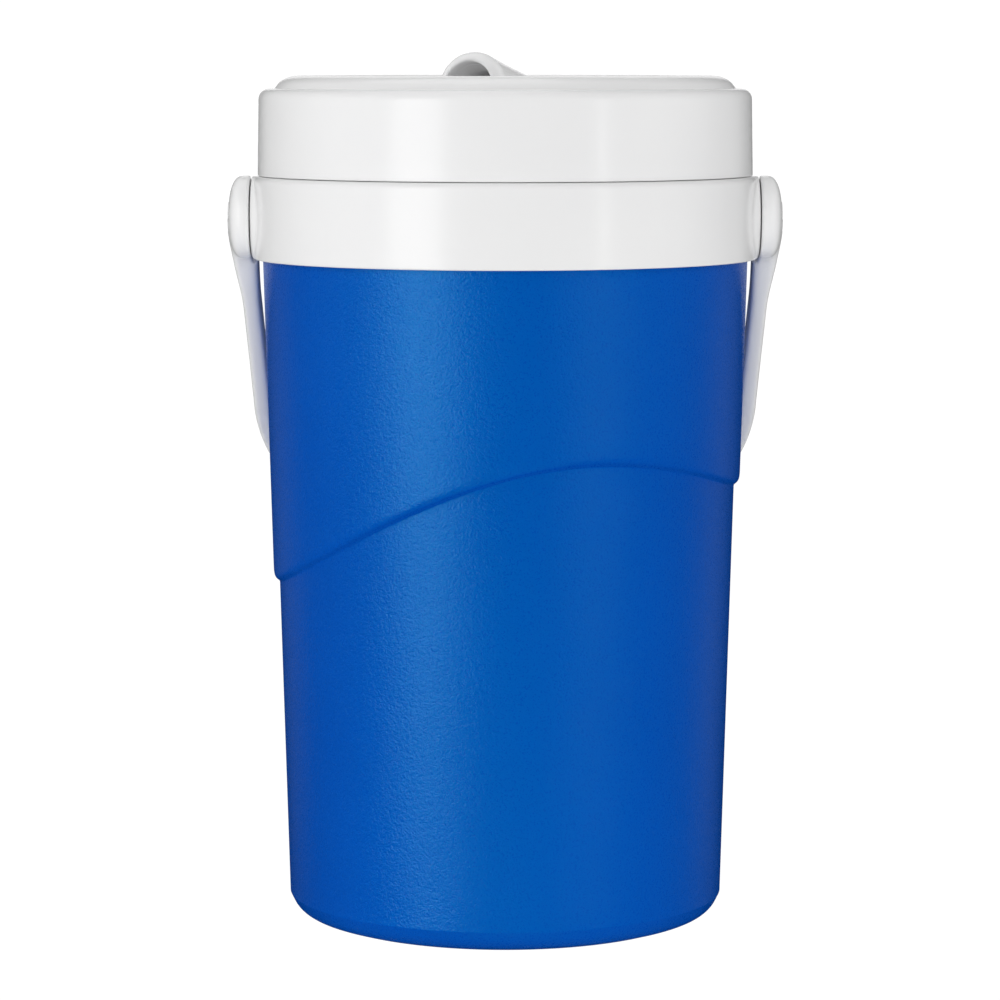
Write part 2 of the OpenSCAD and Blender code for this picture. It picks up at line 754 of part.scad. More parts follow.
module spout() color("#f4f4f4") spout_frame() tilted() difference() {
    union() {
        bar_y(barrel_r, -barrel_half, barrel_half);
        // tube with a flared, rounded lip
        rotate([0, 90, 0]) rotate_extrude() polygon(concat(
            [[0, 0], [tube_r - edge, 0]],
            [for (i = [0:flare_steps])
                let (x = flare_x + (spout_len - lip_round - flare_x) * i / flare_steps)
                [tube_at(x), x]],
            arc(lip_r - lip_round, spout_len - lip_round, lip_round, 0, 90, 6),
            [[0, spout_len]]
        ));
    }
    // passage: port through the barrel, bore in the tube, flared mouth
    rotate([0, 90, 0]) rotate_extrude() polygon(concat(
        [[0, -barrel_r - cut], [port_r, -barrel_r - cut], [port_r, barrel_r - 2 * cut],
         [bore_r, barrel_r + funnel_l], [bore_r, spout_len - mouth_l_flare]],
        arc(mouth_r + mouth_round, spout_len - cut, mouth_round, 180, 110, 4),
        [[mouth_r + mouth_round, spout_len + cut + mouth_round], [0, spout_len + cut + mouth_round]]
    ));
    // blind holes for the pivot pins
    for (s = [0, 1]) mirror([0, s, 0])
        bar_y(spout_pin_r + pin_fit, barrel_half - pin_in, barrel_half + cut);
}

// pin on the +y side of the spout: shank in the barrel, head outside the boss
module spout_pin() color("#d9dcde") {
    head_y = well_r + boss_l;
    bar_y(spout_pin_r, barrel_half - pin_in + pin_tip, head_y + weld);
    bar_y(spout_head_r, head_y, head_y + spout_head_t);
}
module spout_pin_left() spout_frame() spout_pin();
module spout_pin_right() spout_frame() mirror([0, 1, 0]) spout_pin();

module spout_seal() color("#8f979c") spout_frame() difference() {
    top = -barrel_r + seal_rise;
    bottom = well_z - spout_z - seal_seat;
    translate([0, 0, bottom]) cylinder(r = seal_r - seal_play, h = top - bottom);
    translate([0, 0, bottom - cut]) cylinder(r = port_r + edge, h = top - bottom + 2 * cut);
    bar_y(barrel_r + slide_gap, -well_r, well_r);
}

outer_body();
body_foam();
fill_plug();
inner_vessel();
collar();
handle();
handle_pin_left();
handle_pin_right();
lid_shell();
lid_inner();
lid_foam();
lid_gasket();
spout();
spout_pin_left();
spout_pin_right();
spout_seal();
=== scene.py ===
import json
import math

import bpy
import numpy as np
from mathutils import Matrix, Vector


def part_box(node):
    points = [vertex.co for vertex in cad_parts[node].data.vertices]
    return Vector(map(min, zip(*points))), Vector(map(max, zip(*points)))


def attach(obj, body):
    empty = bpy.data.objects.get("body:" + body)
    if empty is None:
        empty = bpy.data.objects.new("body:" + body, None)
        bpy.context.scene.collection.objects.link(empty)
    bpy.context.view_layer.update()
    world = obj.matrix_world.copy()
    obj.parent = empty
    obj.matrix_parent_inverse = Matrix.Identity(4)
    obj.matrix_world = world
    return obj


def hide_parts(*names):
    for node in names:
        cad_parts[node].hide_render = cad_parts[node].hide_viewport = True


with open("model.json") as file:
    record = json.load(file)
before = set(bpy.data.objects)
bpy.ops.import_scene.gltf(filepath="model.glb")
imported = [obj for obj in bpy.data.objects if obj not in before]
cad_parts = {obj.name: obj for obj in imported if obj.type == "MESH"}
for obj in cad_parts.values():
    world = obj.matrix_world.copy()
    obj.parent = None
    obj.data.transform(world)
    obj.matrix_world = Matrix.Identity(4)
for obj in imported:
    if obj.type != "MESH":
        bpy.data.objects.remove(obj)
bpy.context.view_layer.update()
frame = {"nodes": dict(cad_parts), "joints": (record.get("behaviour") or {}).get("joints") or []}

MM = 0.001
TAU = 2 * math.pi


# ------------------------------------------------------------------ sizes from the frame
def box_of(node):
    """Lowest and highest corner of a CAD node, as two arrays."""
    low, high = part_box(node)
    return np.array(low, float), np.array(high, float)


JOINTS = {j["name"]: j for j in frame["joints"]}
BODY_LOW, BODY_HIGH = box_of("outer_body")
COLLAR_LOW, COLLAR_HIGH = box_of("collar")
LID_LOW, LID_HIGH = box_of("lid_shell")

BODY_TOP = COLLAR_LOW[2]                    # height of the body up to the collar
BODY_R = (BODY_HIGH[1] - BODY_LOW[1]) / 2   # its outer radius there
BODY_TUCK = BODY_HIGH[2]                    # top of its edge, inside the collar
COLLAR_R = COLLAR_HIGH[1]
PAD_X = COLLAR_HIGH[0]                      # outer face of the flat pivot pads
NECK_TOP = COLLAR_HIGH[2]
LID_R = LID_HIGH[0]
LID_BOTTOM = LID_LOW[2]
CROWN_TOP = LID_HIGH[2]
PIVOT = np.array(JOINTS["handle_swing"]["pos_m"], float)
SPOUT_PIVOT = np.array(JOINTS["spout_flip"]["pos_m"], float)
SPOUT_AXIS = np.array(JOINTS["spout_flip"]["axis"], float)

# driving sizes that the frame's boxes don't hold, in metres
WALL = 2.2 * MM                             # of the body, the collar and the lid
COLLAR_TOP = BODY_TOP + 30 * MM
THREAD_LEAD = 12 * MM                       # the lid's climb in one turn
TAPER = 0.0284                              # loss of the body's radius per unit of height
STEP_DEPTH, STEP_HEIGHT = 2.1 * MM, 3.8 * MM
WAVE_LOW, WAVE_HIGH, WAVE_RIGHT = 126 * MM, 175.2 * MM, 161.5 * MM
WAVE_CREST = math.radians(22)               # direction of the wave's highest point
BAIL_LENGTH, BAIL_CORNER = 158 * MM, 72 * MM
GRIP_T, GRIP_W = 11 * MM, 16.5 * MM
ARM_TOP_T, ARM_LOW_T, ARM_W = 9.5 * MM, 6.5 * MM, 14 * MM
HUB_X, HUB_T, HUB_R = PAD_X + 0.6 * MM, 7.8 * MM, 15 * MM
PIN_SEAT_R, PIN_SEAT_DEPTH = 5.6 * MM, 1.6 * MM
WELL_R = 14.2 * MM
BARREL_R = 10.8 * MM
TUBE_R, LIP_R = 10.3 * MM, 13.0 * MM
SPOUT_LEN = 51 * MM
SPOUT_TILT = math.radians(8.6)


# ------------------------------------------------------------------ mesh builders
def mesh_object(name, verts, faces):
    """New smooth-shaded mesh object from vertices and faces."""
    mesh = bpy.data.meshes.new(name)
    mesh.from_pydata([tuple(v) for v in verts], [], [tuple(f) for f in faces])
    mesh.validate()
    mesh.shade_smooth()
    obj = bpy.data.objects.new(name, mesh)
    bpy.context.scene.collection.objects.link(obj)
    return obj


def skin(name, rings, loop=False):
    """Closed surface over a list of rings, each (n, 3), or (1, 3) for a pole. A loop joins the
    last ring to the first."""
    starts = np.cumsum([0] + [len(r) for r in rings])
    pairs = list(zip(range(len(rings) - 1), range(1, len(rings))))
    if loop:
        pairs.append((len(rings) - 1, 0))
    faces = []
    for a, b in pairs:
        n = max(len(rings[a]), len(rings[b]))
        for k in range(n):
            q = (k + 1) % n
            if len(rings[a]) == 1:
                faces.append((starts[a], starts[b] + q, starts[b] + k))
            elif len(rings[b]) == 1:
                faces.append((starts[a] + k, starts[a] + q, starts[b]))
            else:
                faces.append((starts[a] + k, starts[a] + q, starts[b] + q, starts[b] + k))
    return mesh_object(name, np.concatenate(rings), faces)


def rounded(corners, steps=6):
    """Outline through (r, z, fillet) corners, each rounded by an arc, with a support point
    beyond each end of an arc so that the flats between stay flat. The first and the last
    corner stay as they are."""
    out = [corners[0][:2]]
    for before, here, after in zip(corners, corners[1:], corners[2:]):
        p, fillet = Vector(here[:2]), here[2]
        to_a, to_b = Vector(before[:2]) - p, Vector(after[:2]) - p
        if fillet <= 0:
            out.append(tuple(p))
            continue
        u, v = to_a.normalized(), to_b.normalized()
        half = u.angle(v) / 2
        reach = fillet / math.tan(half)
        centre = p + (u + v).normalized() * fillet / math.sin(half)
        start, end = p + u * reach, p + v * reach
        a0 = math.atan2(start.y - centre.y, start.x - centre.x)
        a1 = math.atan2(end.y - centre.y, end.x - centre.x)
        sweep = (a1 - a0 + math.pi) % TAU - math.pi
        support = 0.12 * fillet + 0.1 * MM
        if to_a.length > reach + 2 * support:
            out.append(tuple(start + u * support))
        for k in range(steps + 1):
            a = a0 + sweep * k / steps
            out.append((centre.x + fillet * math.cos(a), centre.y + fillet * math.sin(a)))
        if to_b.length > reach + 2 * support:
            out.append(tuple(end + v * support))
    out.append(corners[-1][:2])
    return out


def even(n):
    """n directions evenly round the circle."""
    return np.arange(n) * TAU / n


def quarter(steps):
    """Angles from 0 to a right angle."""
    return [math.pi / 2 * k / steps for k in range(steps + 1)]


def around(r, z, angles):
    """Ring at radius r and height z; angle 0 is the front and turns towards the right."""
    r = np.broadcast_to(r, angles.shape)
    z = np.broadcast_to(z, angles.shape)
    return np.stack([r * np.sin(angles), -r * np.cos(angles), z], axis=1)


def pole(z):
    """Ring of one point on the jug's axis."""
    return np.array([[0, 0, z]])


def join(name, objects):
    """One object out of several separate shells."""
    for o in bpy.context.selected_objects:
        o.select_set(False)
    for o in objects:
        o.select_set(True)
    bpy.context.view_layer.objects.active = objects[0]
    bpy.ops.object.join()
    joined = bpy.context.view_layer.objects.active
    joined.name = joined.data.name = name
    return joined


def place(obj, origin, *directions):
    """Moves a mesh made along three axes of its own to where those axes lie in the frame."""
    points = np.empty(len(obj.data.vertices) * 3)
    obj.data.vertices.foreach_get("co", points)
    moved = origin + points.reshape(-1, 3) @ np.array(directions)
    obj.data.vertices.foreach_set("co", moved.ravel())
    obj.data.update()


def surface_net(name, field, low, high, step):
    """Smooth closed mesh of field(points) = 0, which is negative inside.
    One vertex is put in every grid cell that the surface crosses, and is then moved onto the
    surface along the field's own slope."""
    low, high = np.array(low, float), np.array(high, float)
    shape = np.ceil((high - low) / step).astype(int) + 1
    axes = [low[i] + step * np.arange(shape[i]) for i in range(3)]
    values = np.empty(shape)
    for i, x in enumerate(axes[0]):
        grid = np.stack(np.meshgrid([x], axes[1], axes[2], indexing="ij"), axis=-1)
        values[i] = field(grid.reshape(-1, 3)).reshape(shape[1:])
    inside = values < 0
    corner = [inside[i:shape[0] - 1 + i, j:shape[1] - 1 + j, k:shape[2] - 1 + k]
              for i in (0, 1) for j in (0, 1) for k in (0, 1)]
    count = sum(c.astype(int) for c in corner)
    cells = np.argwhere((count > 0) & (count < 8))
    index = -np.ones(shape, int)
    index[tuple(cells.T)] = np.arange(len(cells))
    verts = low + (cells + 0.5) * step
    h, flattest, farthest, passes = 0.05 * step, 0.05, 0.6 * step, 7
    for _ in range(passes):
        value = field(verts)
        slope = np.stack([(field(verts + e) - field(verts - e)) / (2 * h)
                          for e in np.eye(3) * h], axis=1)
        size = np.maximum((slope ** 2).sum(axis=1), flattest)
        move = -(value / size)[:, None] * slope
        far = np.linalg.norm(move, axis=1, keepdims=True)
        verts = verts + move * np.minimum(1, farthest / np.maximum(far, 1e-12))
    faces = []
    for axis in range(3):
        b, c = (axis + 1) % 3, (axis + 2) % 3
        ahead = [slice(None)] * 3
        behind = [slice(None)] * 3
        ahead[axis], behind[axis] = slice(1, None), slice(None, -1)
        change = inside[tuple(behind)].astype(int) - inside[tuple(ahead)].astype(int)
        where = np.argwhere(change != 0)
        where = where[(where[:, b] > 0) & (where[:, c] > 0)]
        sign = change[tuple(where.T)]
        ring = []
        for db, dc in ((1, 1), (0, 1), (0, 0), (1, 0)):
            at = where.copy()
            at[:, b] -= db
            at[:, c] -= dc
            ring.append(index[tuple(at.T)])
        quads = np.stack(ring, axis=1)
        quads[sign < 0] = quads[sign < 0][:, ::-1]
        faces.append(quads)
    return mesh_object(name, verts, np.concatenate(faces))


def smooth_min(a, b, k):
    """Union of two fields with a blend of radius k."""
    h = np.clip(0.5 + 0.5 * (b - a) / k, 0, 1)
    return b + (a - b) * h - k * h * (1 - h)


def smooth_max(a, b, k):
    """What two fields share, with a blend of radius k."""
    return -smooth_min(-a, -b, k)


def eased(value, low, high):
    """0 below low, 1 above high, and a change between them that starts and ends gently."""
    share = np.clip((value - low) / (high - low), 0, 1)
    return share * share * (3 - 2 * share)


# ------------------------------------------------------------------ materials
def material(name, colour, rough, dress=None):
    """Principled material; dress(tree, shader) adds its grain and variation."""
    mat = bpy.data.materials.new(name)
    mat.use_nodes = True
    tree = mat.node_tree
    shader = tree.nodes["Principled BSDF"]
    shader.inputs["Base Color"].default_value = (*colour, 1)
    shader.inputs["Roughness"].default_value = rough
    if dress:
        dress(tree, shader)
    return mat


def noise(tree, scale, detail, rough=0.5):
    """Noise in object space, so that the grain has a real size; scale is per metre."""
    coords = tree.nodes.new("ShaderNodeTexCoord")
    node = tree.nodes.new("ShaderNodeTexNoise")
    node.inputs["Scale"].default_value = scale
    node.inputs["Detail"].default_value = detail
    node.inputs["Roughness"].default_value = rough
    tree.links.new(coords.outputs["Object"], node.inputs["Vector"])
    return node.outputs["Fac"]


NOISE_LOW, NOISE_HIGH = 0.3, 0.7            # most of a noise's values lie between these


def spread(tree, value, low, high):
    """Maps a noise to a range."""
    node = tree.nodes.new("ShaderNodeMapRange")
    node.inputs["From Min"].default_value = NOISE_LOW
    node.inputs["From Max"].default_value = NOISE_HIGH
    node.inputs["To Min"].default_value = low
    node.inputs["To Max"].default_value = high
    tree.links.new(value, node.inputs["Value"])
    return node.outputs["Result"]


def ramp(tree, value, low_colour, high_colour):
    """Colour between two colours by a noise."""
    node = tree.nodes.new("ShaderNodeValToRGB")
    low, high = node.color_ramp.elements
    low.color, high.color = (*low_colour, 1), (*high_colour, 1)
    low.position, high.position = NOISE_LOW, NOISE_HIGH
    tree.links.new(value, node.inputs["Fac"])
    return node.outputs["Color"]


def bump(tree, shader, heights, target="Normal"):
    """Chain of bumps from (height, distance in metres, strength) into a normal of the shader."""
    normal = None
    for height, distance, strength in heights:
        node = tree.nodes.new("ShaderNodeBump")
        node.inputs["Distance"].default_value = distance
        node.inputs["Strength"].default_value = strength
        tree.links.new(height, node.inputs["Height"])
        if normal:
            tree.links.new(normal, node.inputs["Normal"])
        normal = node.outputs["Normal"]
    tree.links.new(normal, shader.inputs[target])


def grained_blue(tree, shader):
    """Moulded polyethylene with a fine leathery grain and a faint drift of colour. Its gloss is
    tinted, because the pigment keeps the blue saturated under white light."""
    shader.inputs["Specular Tint"].default_value = (0, 0.95, 1, 1)
    shader.inputs["Specular IOR Level"].default_value = 0.45
    shader.inputs["Coat Weight"].default_value = 0.2
    shader.inputs["Coat Roughness"].default_value = 0.1
    grain = noise(tree, scale=1500, detail=2.0, rough=0.6)
    coarse = noise(tree, scale=700, detail=1.5)
    drift = noise(tree, scale=9, detail=2.0)
    colour = ramp(tree, drift, (0, 0.069, 0.42), (0, 0.077, 0.45))
    tree.links.new(colour, shader.inputs["Base Color"])
    tree.links.new(spread(tree, grain, 0.24, 0.36), shader.inputs["Roughness"])
    bump(tree, shader, [(coarse, 0.0003, 0.5), (grain, 0.0003, 0.6)])
    bump(tree, shader, [(coarse, 0.0003, 0.45), (grain, 0.0003, 0.7)], "Coat Normal")


def smooth_white(tree, shader):
    """Polished moulding with slow waves in the surface and uneven gloss."""
    shader.inputs["Specular IOR Level"].default_value = 0.25
    wave = noise(tree, scale=28, detail=1.0)
    fine = noise(tree, scale=260, detail=2.0)
    drift = noise(tree, scale=14, detail=3.0)
    shade = ramp(tree, drift, (0.80, 0.80, 0.805), (0.83, 0.83, 0.83))
    tree.links.new(shade, shader.inputs["Base Color"])
    tree.links.new(spread(tree, fine, 0.16, 0.24), shader.inputs["Roughness"])
    bump(tree, shader, [(wave, 0.0006, 0.10), (fine, 0.00005, 0.15)])


def foam_pores_and_shade(tree, shader):
    """Rigid foam with small open pores; the colour is painted darker where the pores sink in, as
    painted shade in their hollows.
    """
    pores = noise(tree, scale=700, detail=4.0, rough=0.7)
    # painted shade: the colour darkens with the same noise that sinks the pores in
    colour = ramp(tree, pores, (0.58, 0.49, 0.28), (0.80, 0.72, 0.48))
    tree.links.new(colour, shader.inputs["Base Color"])
    bump(tree, shader, [(pores, 0.0006, 0.7)])


def rubber_skin(tree, shader):
    """Silicone rubber with a soft bloom."""
    bloom = noise(tree, scale=180, detail=3.0)
    colour = ramp(tree, bloom, (0.26, 0.28, 0.29), (0.36, 0.38, 0.39))
    tree.links.new(colour, shader.inputs["Base Color"])
    tree.links.new(spread(tree, bloom, 0.5, 0.65), shader.inputs["Roughness"])
    bump(tree, shader, [(bloom, 0.0001, 0.3)])


BLUE = material("blue_polyethylene", (0, 0.09, 0.41), 0.45, grained_blue)
WHITE = material("white_plastic", (0.82, 0.82, 0.82), 0.3, smooth_white)
FOAM = material("cream_foam", (0.75, 0.66, 0.42), 0.9, foam_pores_and_shade)
RUBBER = material("grey_silicone", (0.32, 0.34, 0.35), 0.6, rubber_skin)


def finish_piece(obj, body, mat, node):
    """Material, body and the CAD node that a piece stands for."""
    obj.data.materials.clear()
    obj.data.materials.append(mat)
    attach(obj, body)
    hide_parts(node)


# ------------------------------------------------------------------ camera, floor and light
PAPER_GLOW = 1.05                           # just past white, for the floor and the backdrop


def add_camera():
    """Long lens a little above the lid's crown, looking slightly down at the front."""
    data = bpy.data.cameras.new("camera")
    data.lens = 142.96
    data.sensor_width = 36
    data.clip_end = 20
    cam = bpy.data.objects.new("camera", data)
    bpy.context.scene.collection.objects.link(cam)
    cam.location = (-0.0019, -1.451, 0.3130)
    looks_down = math.radians(6.289)
    cam.rotation_euler = (math.pi / 2 - looks_down, 0, 0)
    bpy.context.scene.camera = cam


def add_floor():
    """Flat round sheet of glowing white paper that casts no light or shadow on the jug."""
    ring = even(96)
    obj = skin("floor", [pole(0.0), around(0.4, 0, ring), around(4, 0, ring)])
    obj.data.shade_flat()
    mat = material("floor_paper", (0, 0, 0), 0.9)
    shader = mat.node_tree.nodes["Principled BSDF"]
    shader.inputs["Specular IOR Level"].default_value = 0
    shader.inputs["Emission Color"].default_value = (1, 1, 1, 1)
    shader.inputs["Emission Strength"].default_value = PAPER_GLOW
    obj.data.materials.append(mat)
    obj.location.z = -0.2 * MM
    obj.visible_glossy = obj.visible_diffuse = obj.visible_shadow = False


def add_world():
    """White backdrop for the camera and a dim room for everything else but gloss."""
    world = bpy.data.worlds.new("studio")
    bpy.context.scene.world = world
    world.use_nodes = True
    world.cycles_visibility.glossy = False
    tree = world.node_tree
    room = tree.nodes["Background"]
    room.inputs["Color"].default_value = (1, 1, 1, 1)
    room.inputs["Strength"].default_value = 0.34
    backdrop = tree.nodes.new("ShaderNodeBackground")
    backdrop.inputs["Color"].default_value = (1, 1, 1, 1)
    backdrop.inputs["Strength"].default_value = PAPER_GLOW
    path = tree.nodes.new("ShaderNodeLightPath")
    mix = tree.nodes.new("ShaderNodeMixShader")
    tree.links.new(path.outputs["Is Camera Ray"], mix.inputs["Fac"])
    tree.links.new(room.outputs["Background"], mix.inputs[1])
    tree.links.new(backdrop.outputs["Background"], mix.inputs[2])
    tree.links.new(mix.outputs["Shader"], tree.nodes["World Output"].inputs["Surface"])


def area_light(name, location, size, power, aim_z, shine):
    """Soft rectangular light aimed at a height on the jug's axis. It either shines only in
    glossy surfaces or lights only what is matt."""
    data = bpy.data.lights.new(name, "AREA")
    data.shape = "RECTANGLE"
    data.size, data.size_y = size
    data.energy = power
    obj = bpy.data.objects.new(name, data)
    bpy.context.scene.collection.objects.link(obj)
    obj.location = location
    towards = Vector((0, 0, aim_z)) - Vector(location)
    obj.rotation_euler = towards.to_track_quat("-Z", "Y").to_euler()
    obj.visible_glossy = shine
    obj.visible_diffuse = not shine
    obj.visible_camera = False


def add_lights():
    """Tall panels that give the object its upright highlights, and soft fills all round."""
    level, tall = 0.28, 1.15                # middle and height of the upright panels
    wall, middle = 0.75, 0.17               # middle of the panel behind, and of the jug
    panels = [                              # name, place, width and height, watts, aim
        ("key", (-0.85, -1.02, level), (0.58, tall), 8.6, level),
        ("strip", (0.95, -1.0, level), (0.07, tall), 1.7, level),
        ("behind_left", (-0.9, 1.1, level), (0.3, tall), 0.2, level),
        ("behind_right", (1.0, 0.8, level), (0.3, tall), 0.3, level),
        ("backdrop", (0, 1.5, wall), (0.6, 1.0), 1.7, wall),
        ("overhead", (-0.2, 0.5, 1.6), (0.9, 0.9), 3, middle)]
    for name, location, size, power, aim_z in panels:
        area_light(name, location, size, power, aim_z, shine=True)
    fills = [                               # name, place, width, watts
        ("front", (0, -2.3, 0.9), 1.6, 10),
        ("left", (-2.2, -0.4, 0.9), 1.6, 27),
        ("right", (2.2, -0.4, 0.9), 1.6, 19),
        ("back", (0, 2.3, 0.9), 1.6, 21),
        ("top", (0, 0, 2.3), 1.6, 12),
        ("bounce_front", (0, -1.9, -1.2), 2, 32),
        ("bounce_back", (0, 1.9, -1.2), 2, 18)]
    for name, location, width, power in fills:
        area_light(name, location, (width, width), power, middle, shine=False)


# ------------------------------------------------------------------ body
def upper_radius(z):
    """Outer radius of the body above the step."""
    return BODY_R - TAPER * (BODY_TOP - z)


def lower_radius(z):
    """Outer radius of the body below the step."""
    return upper_radius(z) - STEP_DEPTH


def wave_height(phi):
    """Height of the step in a direction; the back mirrors the front."""
    side = math.pi / 2
    p = (phi + math.pi) % TAU - math.pi
    p = np.where(np.abs(p) <= side, p, np.sign(p) * math.pi - p)
    rise = (p + side) / (WAVE_CREST + side)
    fall = (p - WAVE_CREST) / (side - WAVE_CREST)
    up = WAVE_LOW + (WAVE_HIGH - WAVE_LOW) * (1 - np.cos(np.pi * rise)) / 2
    down = WAVE_HIGH - (WAVE_HIGH - WAVE_RIGHT) * (1 - np.cos(np.pi * fall)) / 2
    return np.where(p <= WAVE_CREST, up, down)


def step_share(s):
    """0 below the step and 1 above it; s is the height above its middle. The step starts at a
    tight inner corner, is steepest there, and rolls over gently into the upper body."""
    soft, roll = 0.18 * MM, 1.0 * MM
    above = soft * np.logaddexp(0, (s + STEP_HEIGHT / 2) / soft)
    return 1 - np.exp(-above / roll)


def wavy_rings(inset, low, high, angles):
    """Rings from low to high that follow the wave step between them, closest at the step."""
    wave = wave_height(angles)
    margin = 7 * MM                         # how far the step's own rings reach
    offsets = np.concatenate([[-margin, -4.5 * MM], np.linspace(-3.4, -0.4, 18) * MM,
                              np.linspace(0, 5.5, 12) * MM, [margin]])
    shares = np.linspace(0, 1, 12)
    rings = []
    for t in shares[:-1]:
        z = low + (wave - margin - low) * t
        rings.append(around(lower_radius(z) - inset, z, angles))
    for s in offsets:
        z = wave + s
        r = upper_radius(z) - STEP_DEPTH * (1 - step_share(s)) - inset
        rings.append(around(r, z, angles))
    for t in shares[1:]:
        z = wave + margin + (high - wave - margin) * t
        rings.append(around(upper_radius(z) - inset, z, angles))
    return rings


def make_body():
    """Blue outer body: foot ring, rounded base, wave step, and the edge inside the collar."""
    angles = even(480)
    foot_out, foot_in, recess = 68.3 * MM, 59.3 * MM, 3 * MM
    heel_r, heel_z = 76.6 * MM, 2.6 * MM    # corner between the foot ring and the side
    side_z, side_top = 8.6 * MM, 20 * MM
    floor_z, floor_top = 5.5 * MM, 16 * MM  # inside of the base
    base = rounded([
        (0, recess, 0), (foot_in, recess, 1.2 * MM), (foot_in + 0.6 * MM, 0, 0.8 * MM),
        (foot_out, 0, 3 * MM), (heel_r, heel_z, 9 * MM),
        (lower_radius(side_z - 0.1 * MM), side_z, 0.7 * MM),
        (lower_radius(side_top), side_top, 0)], 8)
    floor = rounded([
        (lower_radius(floor_top) - WALL, floor_top, 0),
        (lower_radius(floor_z + 0.5 * MM) - WALL, floor_z, 8.5 * MM), (0, floor_z, 0)], 8)
    rings = [pole(base[0][1])]
    rings += [around(r, z, angles) for r, z in base[1:-1]]
    rings += wavy_rings(0, side_top, BODY_TOP - 1 * MM, angles)
    rings += [around(BODY_R, BODY_TOP + 0.5 * MM, angles), around(BODY_R, BODY_TUCK, angles),
              around(BODY_R - WALL, BODY_TUCK, angles), around(BODY_R - WALL, BODY_TOP, angles)]
    rings += wavy_rings(WALL, floor_top, BODY_TOP - 1 * MM, angles)[::-1]
    rings += [around(r, z, angles) for r, z in floor[1:-1]]
    rings.append(pole(floor[-1][1]))
    finish_piece(skin("body_shell", rings), "jug", BLUE, "outer_body")


# ------------------------------------------------------------------ collar
def with_pad(points):
    """X of the collar's face where the conical pads stand proud of it."""
    flat_r, slope, half_width = 14 * MM, 0.5, 30 * MM
    x, y, z = points.T
    reach = np.hypot(y, z - PIVOT[2])
    cone = PAD_X - (reach - flat_r) * slope
    pad = smooth_min(cone, np.full_like(cone, PAD_X), 0.35 * MM)
    raised = np.sign(x) * smooth_max(np.abs(x), pad, 0.5 * MM)
    return np.where(np.abs(y) < half_width, raised, x)


def thread_ridge(name, r, z):
    """Helical ridge on the outside of a wall, from height z up, which fades out at both ends."""
    turns, turn_steps, fade_steps = 0.9, 240, 22
    flank = [(-0.5, 1.9), (0.2, 1.75), (1.0, 1.25), (1.7, 0.85), (1.95, 0.5)]
    profile = flank + [(2.0, 0)] + [(d, -h) for d, h in flank[::-1]]    # top to bottom, in mm
    n, m = int(turn_steps * turns), len(profile)
    verts = []
    for i in range(n + 1):
        a = TAU * i / turn_steps
        grow = math.sin(math.pi / 2 * min(1, min(i, n - i) / fade_steps))
        for d, h in profile:
            out = r + d * MM * (grow if d > 0 else 1)
            climb = THREAD_LEAD * i / turn_steps
            verts.append((out * math.cos(a), out * math.sin(a), z + climb + h * MM))
    faces = [tuple(range(m))[::-1], tuple(range(n * m, n * m + m))]
    for i in range(n):
        for k in range(m):
            q = (k + 1) % m
            faces.append((i * m + k, i * m + q, (i + 1) * m + q, (i + 1) * m + k))
    return mesh_object(name, verts, faces)


def make_collar():
    """White band with the two flat pivot pads, the top web and the threaded neck."""
    near = math.radians(14)                 # half of the arc with closely set points at a pad
    dense = np.linspace(-near, near, 171)
    wide = np.linspace(near, math.pi - near, 141)[1:-1]
    angles = np.sort(np.concatenate([math.pi / 2 + dense, -math.pi / 2 + dense,
                                     math.pi / 2 + wide, -math.pi / 2 + wide]) % TAU)
    fit = 0.15 * MM                         # to each side of the body's edge in the groove
    inner, groove = BODY_R + fit, BODY_R - WALL - fit
    web = COLLAR_TOP - WALL
    neck = COLLAR_R - 12.1 * MM
    skirt, hem = BODY_TOP + 7 * MM, BODY_TOP + 1 * MM
    face = [(COLLAR_R, z) for z in np.linspace(BODY_TOP + 1.2 * MM, COLLAR_TOP - 3.2 * MM, 54)]
    outline = rounded([
        (inner, skirt, 0), (inner, BODY_TOP, 0.3 * MM), (COLLAR_R, BODY_TOP, 0.7 * MM),
        (COLLAR_R, BODY_TOP + 1.1 * MM, 0)])[:-1]
    outline += face
    outline += rounded([
        (COLLAR_R, COLLAR_TOP - 3.1 * MM, 0), (COLLAR_R, COLLAR_TOP, 2.2 * MM),
        (neck, COLLAR_TOP, 0.8 * MM), (neck, NECK_TOP, 0.7 * MM),
        (neck - WALL, NECK_TOP, 0.3 * MM), (neck - WALL, web - WALL, 0.3 * MM),
        (groove - WALL, web - WALL, 0.5 * MM), (groove - WALL, hem, 0.4 * MM),
        (groove, hem, 0.4 * MM), (groove, skirt, 0)])
    # the pads take in the outer face and its rounded edges, but not the flats above and below
    under_edge, over_edge = COLLAR_R - 0.75 * MM, inner + 1 * MM
    rings = []
    for r, z in outline:
        ring = around(r, z, angles)
        edge = under_edge if z < PIVOT[2] else over_edge
        if r > edge and z < COLLAR_TOP - 0.1 * MM:
            ring[:, 0] = with_pad(ring)
        rings.append(ring)
    band = skin("collar_band", rings, loop=True)
    thread = thread_ridge("neck_thread", neck, COLLAR_TOP + 8.2 * MM)
    finish_piece(join("collar_ring", [band, thread]), "jug", WHITE, "collar")


# ------------------------------------------------------------------ handle
def arm_section(v):
    """Thickness of the bail's arm and the x of its middle, v down from the pivot: thick at
    the hub, slim below it."""
    slim = eased(v, 12 * MM, 40 * MM)
    lean, tuck = 0.04, 2.1 * MM             # how far the arm draws in: per length, and below
    t = ARM_TOP_T - (ARM_TOP_T - ARM_LOW_T) * slim
    return t, HUB_X + HUB_T - lean * v - tuck * slim - t / 2


